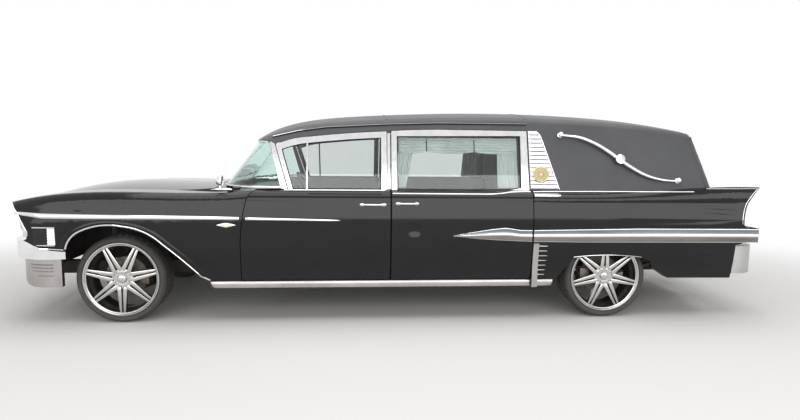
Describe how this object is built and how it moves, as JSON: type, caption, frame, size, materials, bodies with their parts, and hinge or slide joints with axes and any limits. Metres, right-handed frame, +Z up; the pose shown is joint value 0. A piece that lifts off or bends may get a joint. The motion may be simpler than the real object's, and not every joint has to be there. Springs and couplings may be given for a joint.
{
  "type": "hearse",
  "caption": "Long finned hearse with side-hinged rear door, four side doors, landau bars, curtained rear windows, loading deck and wide alloy wheels.",
  "frame": {"origin": "on the ground, under the middle of the car's length and width", "axes": "+X to the car's rear, +Y to the car's right, +Z up"},
  "size_m": [6.1809, 2.0178, 1.7392],
  "materials": {
    "black_paint": "deep gloss black",
    "roof_finish": "satin dark grey",
    "underbody": "flat black",
    "chrome": "bright plate",
    "alloy": "polished",
    "steel": "machined",
    "iron": "cast",
    "tyre_rubber": "black rubber",
    "window": "clear",
    "lamp_glass": "clear",
    "red_lens": "red lens",
    "curtain_cloth": "pale satin cloth",
    "seat_hide": "dark hide",
    "dash_paint": "dark",
    "wheel_plastic": "dark",
    "deck_board": "varnished"
  },
  "bodies": {
    "root": {"bumper_front": "chrome", "bumper_rear": "chrome", "centre_pillars": "black_paint", "chassis_frame": "underbody", "cowl": "black_paint", "dashboard": "dash_paint", "deck_rollers": "steel", "engine_block": "iron", "exhaust": "steel", "floor_pan": "underbody", "front_fenders": "black_paint", "front_seat": "seat_hide", "front_suspension": "iron", "fuel_tank": "underbody", "grille": "chrome", "headlamps": "chrome", "landau_bars": "chrome", "landau_panels": "chrome", "loading_deck": "deck_board", "quarter_panels": "black_paint", "radiator_support": "underbody", "rear_axle": "iron", "rear_wall": "black_paint", "roof_shell": "roof_finish", "side_mirror": "chrome", "tail_lamps": "red_lens", "wheelhouses": "underbody", "windshield": "window"},
    "hood": {"hood": "black_paint"},
    "tailgate": {"tailgate": "black_paint", "glass_tailgate": "window"},
    "steering_wheel": {"steering_wheel": "wheel_plastic"},
    "door_front_left": {"door_front_left": "black_paint", "glass_front_left": "window"},
    "door_rear_left": {"door_rear_left": "black_paint", "glass_rear_left": "window", "curtain_left": "curtain_cloth"},
    "knuckle_left": {"knuckle_left": "iron"},
    "wheel_front_left": {"tyre_front_left": "tyre_rubber", "wheel_front_left": "alloy"},
    "wheel_rear_left": {"tyre_rear_left": "tyre_rubber", "wheel_rear_left": "alloy"},
    "door_front_right": {"door_front_right": "black_paint", "glass_front_right": "window"},
    "door_rear_right": {"door_rear_right": "black_paint", "glass_rear_right": "window", "curtain_right": "curtain_cloth"},
    "knuckle_right": {"knuckle_right": "iron"},
    "wheel_front_right": {"tyre_front_right": "tyre_rubber", "wheel_front_right": "alloy"},
    "wheel_rear_right": {"tyre_rear_right": "tyre_rubber", "wheel_rear_right": "alloy"}
  },
  "joints": [
    {"name": "steer_right", "type": "hinge", "parent": "root", "child": "knuckle_right", "pos_m": [-2.2, 0.727, 0.352], "axis": [0, 0, 1], "range_deg": [-32, 32]},
    {"name": "roll_front_right", "type": "hinge", "parent": "knuckle_right", "child": "wheel_front_right", "pos_m": [-2.2, 0.787, 0.352], "axis": [0, 1, 0], "continuous": true},
    {"name": "roll_rear_right", "type": "hinge", "parent": "root", "child": "wheel_rear_right", "pos_m": [1.762, 0.787, 0.352], "axis": [0, 1, 0], "continuous": true},
    {"name": "front_door_right", "type": "hinge", "parent": "root", "child": "door_front_right", "pos_m": [-1.235, 1.008, 0.7], "axis": [0, 0, 1], "range_deg": [0, 65]},
    {"name": "rear_door_right", "type": "hinge", "parent": "root", "child": "door_rear_right", "pos_m": [1.084, 1.008, 0.7], "axis": [0, 0, -1], "range_deg": [0, 70]},
    {"name": "steer_left", "type": "hinge", "parent": "root", "child": "knuckle_left", "pos_m": [-2.2, -0.727, 0.352], "axis": [0, 0, 1], "range_deg": [-32, 32]},
    {"name": "roll_front_left", "type": "hinge", "parent": "knuckle_left", "child": "wheel_front_left", "pos_m": [-2.2, -0.787, 0.352], "axis": [0, 1, 0], "continuous": true},
    {"name": "roll_rear_left", "type": "hinge", "parent": "root", "child": "wheel_rear_left", "pos_m": [1.762, -0.787, 0.352], "axis": [0, 1, 0], "continuous": true},
    {"name": "front_door_left", "type": "hinge", "parent": "root", "child": "door_front_left", "pos_m": [-1.235, -1.008, 0.7], "axis": [0, 0, -1], "range_deg": [0, 65]},
    {"name": "rear_door_left", "type": "hinge", "parent": "root", "child": "door_rear_left", "pos_m": [1.084, -1.008, 0.7], "axis": [0, 0, 1], "range_deg": [0, 70]},
    {"name": "hood_lift", "type": "hinge", "parent": "root", "child": "hood", "pos_m": [-1.5, 0, 1.103], "axis": [0, 1, 0], "range_deg": [0, 48]},
    {"name": "tailgate_swing", "type": "hinge", "parent": "root", "child": "tailgate", "pos_m": [2.807, -0.561, 1], "axis": [0, 0, -1], "range_deg": [0, 90]},
    {"name": "steering_turn", "type": "hinge", "parent": "root", "child": "steering_wheel", "pos_m": [-0.75, -0.38, 1.01], "axis": [0.848, 0, 0.5299], "range_deg": [-480, 480]}
  ],
  "couplings": [
    {"joint": "steer_left", "follows": "steer_right", "ratio": 1},
    {"joint": "steering_turn", "follows": "steer_right", "ratio": 15}
  ]
}
